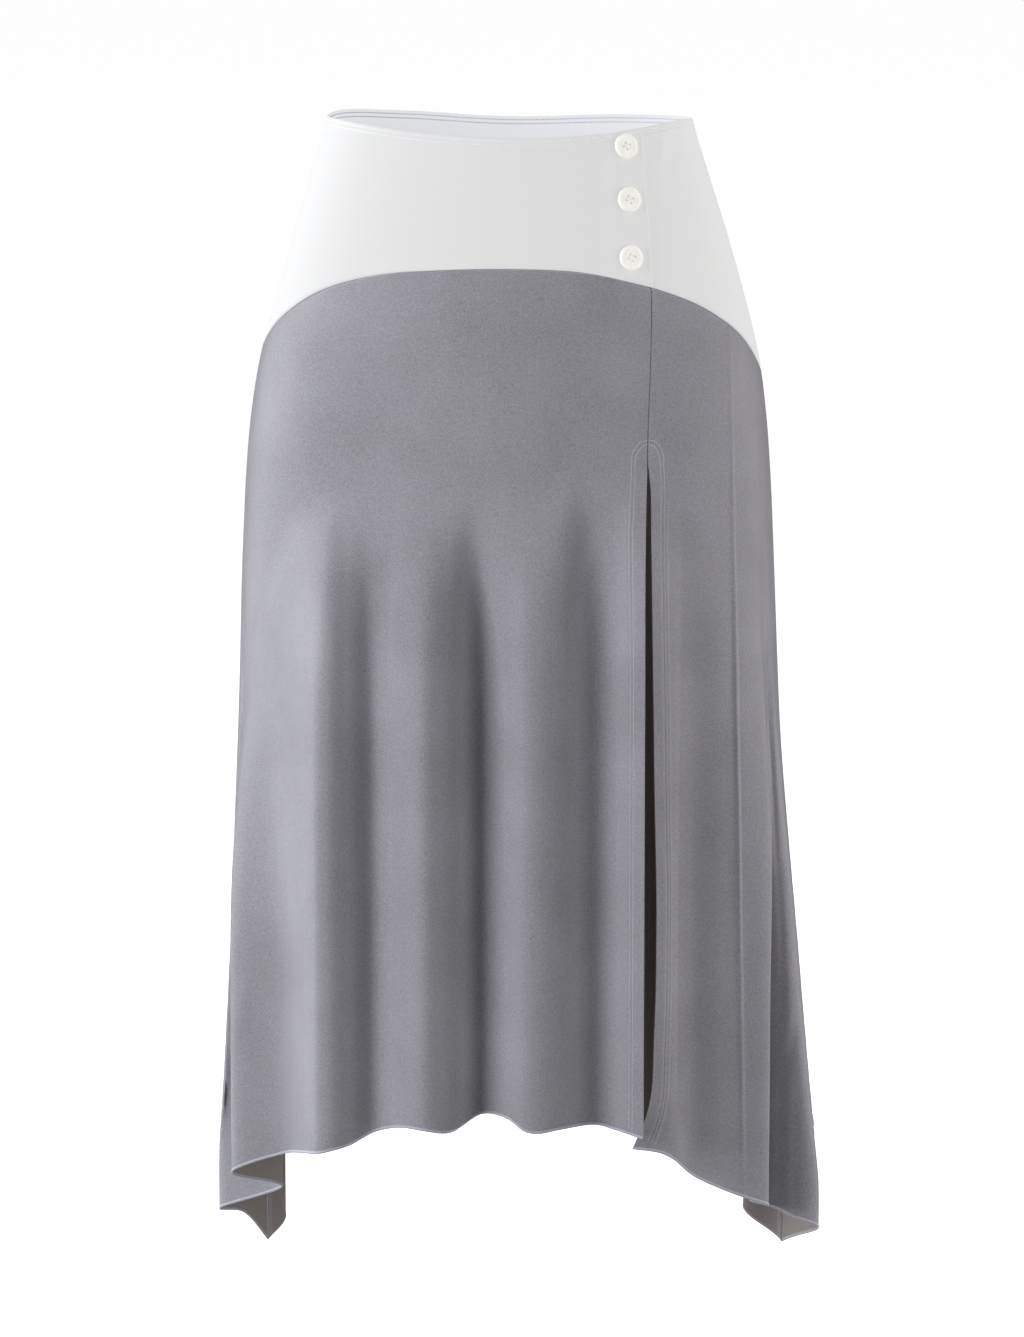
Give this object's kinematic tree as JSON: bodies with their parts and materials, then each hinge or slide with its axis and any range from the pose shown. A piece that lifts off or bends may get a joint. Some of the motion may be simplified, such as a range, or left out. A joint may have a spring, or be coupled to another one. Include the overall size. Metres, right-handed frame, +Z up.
{
  "type": "high-low skirt",
  "caption": "Jersey skirt held in its worn shape: a shaped white yoke with a button placket, flared grey panels, a front slit and a hem that is short in front and drops at the side seams.",
  "frame": {"origin": "centre of the waist opening, where the wearer's waist holds the skirt", "axes": "+Z up along the body, -Y to the front, +X to the wearer's left, the side of the placket and the slit"},
  "size_m": [0.4541, 0.312, 0.8717],
  "materials": {
    "grey_jersey": "soft fine knit, matt with a faint sheen",
    "white_jersey": "smooth fine knit, matt",
    "ivory_button": "polished resin"
  },
  "bodies": {
    "root": {"skirt_front": "grey_jersey", "skirt_side_front": "grey_jersey", "skirt_back": "grey_jersey", "yoke_front": "white_jersey", "yoke_side_front": "white_jersey", "yoke_back": "white_jersey", "button_top": "ivory_button", "button_middle": "ivory_button", "button_bottom": "ivory_button"}
  },
  "joints": []
}
